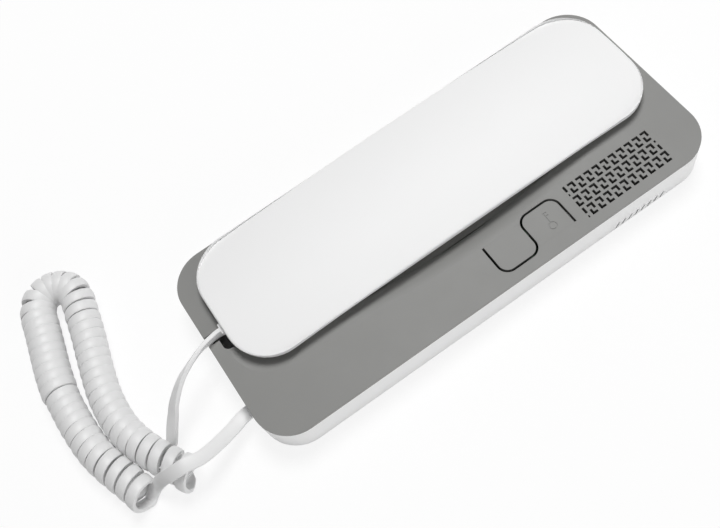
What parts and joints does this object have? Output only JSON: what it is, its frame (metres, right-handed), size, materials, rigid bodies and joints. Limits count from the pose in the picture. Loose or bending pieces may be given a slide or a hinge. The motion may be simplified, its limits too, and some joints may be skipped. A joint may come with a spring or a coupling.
{
  "type": "audio intercom handset station",
  "caption": "Flat wall intercom station with a lift-off crowned handset, button tongues cut by an S-shaped slit, a sound grille and a curly handset cord.",
  "frame": {"origin": "centre of the back face, which lies on the wall or on a table", "axes": "+Z out of the front face, +Y to the top end with the sound grille, +X to the side with the button strip"},
  "size_m": [0.1284, 0.2783, 0.0263],
  "materials": {
    "white_shell": "fine satin",
    "white_handset": "satin gloss",
    "grey_cover": "fine satin",
    "white_cord": "smooth cord jacket",
    "clear_plug": "clear, modelled opaque",
    "black_plastic": "moulded",
    "ivory_plastic": "moulded",
    "red_plastic": "moulded",
    "green_board": "solder mask",
    "green_terminal": "moulded",
    "capacitor_can": "sleeved can",
    "steel": "zinc plated",
    "speaker_metal": "pressed steel",
    "magnet": "sintered",
    "diaphragm": "thin film",
    "capsule_metal": "drawn can",
    "black_rubber": "soft foam or rubber",
    "red_wire": "wire jacket",
    "yellow_wire": "wire jacket"
  },
  "bodies": {
    "base": {"back_shell": "white_shell", "front_cover": "grey_cover", "main_board": "green_board", "terminal_block": "green_terminal", "terminal_screws": "steel", "controller_chip": "black_plastic", "address_switch": "red_plastic", "capacitors": "capacitor_can", "door_switch": "black_plastic", "aux_switch": "black_plastic", "hook_spring": "steel", "hook_switch": "black_plastic", "speaker_frame": "speaker_metal", "speaker_cone": "black_plastic", "speaker_magnet": "magnet", "speaker_gasket": "black_rubber", "base_jack": "black_plastic", "board_screws": "steel", "cover_screws": "steel", "handset_tail": "white_cord", "curly_cord": "white_cord", "base_tail": "white_cord", "base_plug": "clear_plug"},
    "handset": {"handset_front_shell": "white_handset", "handset_back_shell": "white_handset", "receiver_case": "black_plastic", "receiver_diaphragm": "diaphragm", "receiver_magnet": "magnet", "receiver_seal": "black_rubber", "microphone": "capsule_metal", "microphone_boot": "black_rubber", "handset_jack": "black_plastic", "handset_screws": "steel", "receiver_wires": "red_wire", "microphone_wires": "yellow_wire", "handset_plug": "clear_plug"},
    "door_button": {"door_button": "grey_cover", "door_plunger": "ivory_plastic"},
    "aux_button": {"aux_button": "grey_cover", "aux_plunger": "ivory_plastic"},
    "hook": {"hook_plunger": "ivory_plastic"}
  },
  "joints": [
    {"name": "handset_lift", "type": "slide", "parent": "base", "child": "handset", "axis": [0, 0, 1], "range_m": [0, 0.04]},
    {"name": "hook_rise", "type": "slide", "parent": "base", "child": "hook", "axis": [0, 0, 1], "range_m": [0, 0.004], "deforming": ["hook_spring"]},
    {"name": "door_press", "type": "hinge", "parent": "base", "child": "door_button", "pos_m": [0.0384, 0.0307, 0.015], "axis": [0, -1, 0], "range_deg": [0, 2], "stiffness_Nm_per_rad": 0.95, "springref_deg": -1.15},
    {"name": "aux_press", "type": "hinge", "parent": "base", "child": "aux_button", "pos_m": [0.0256, 0.0131, 0.015], "axis": [0, 1, 0], "range_deg": [0, 2], "stiffness_Nm_per_rad": 0.95, "springref_deg": -1.15}
  ],
  "couplings": [
    {"joint": "hook_rise", "follows": "handset_lift", "ratio": 0.1}
  ]
}
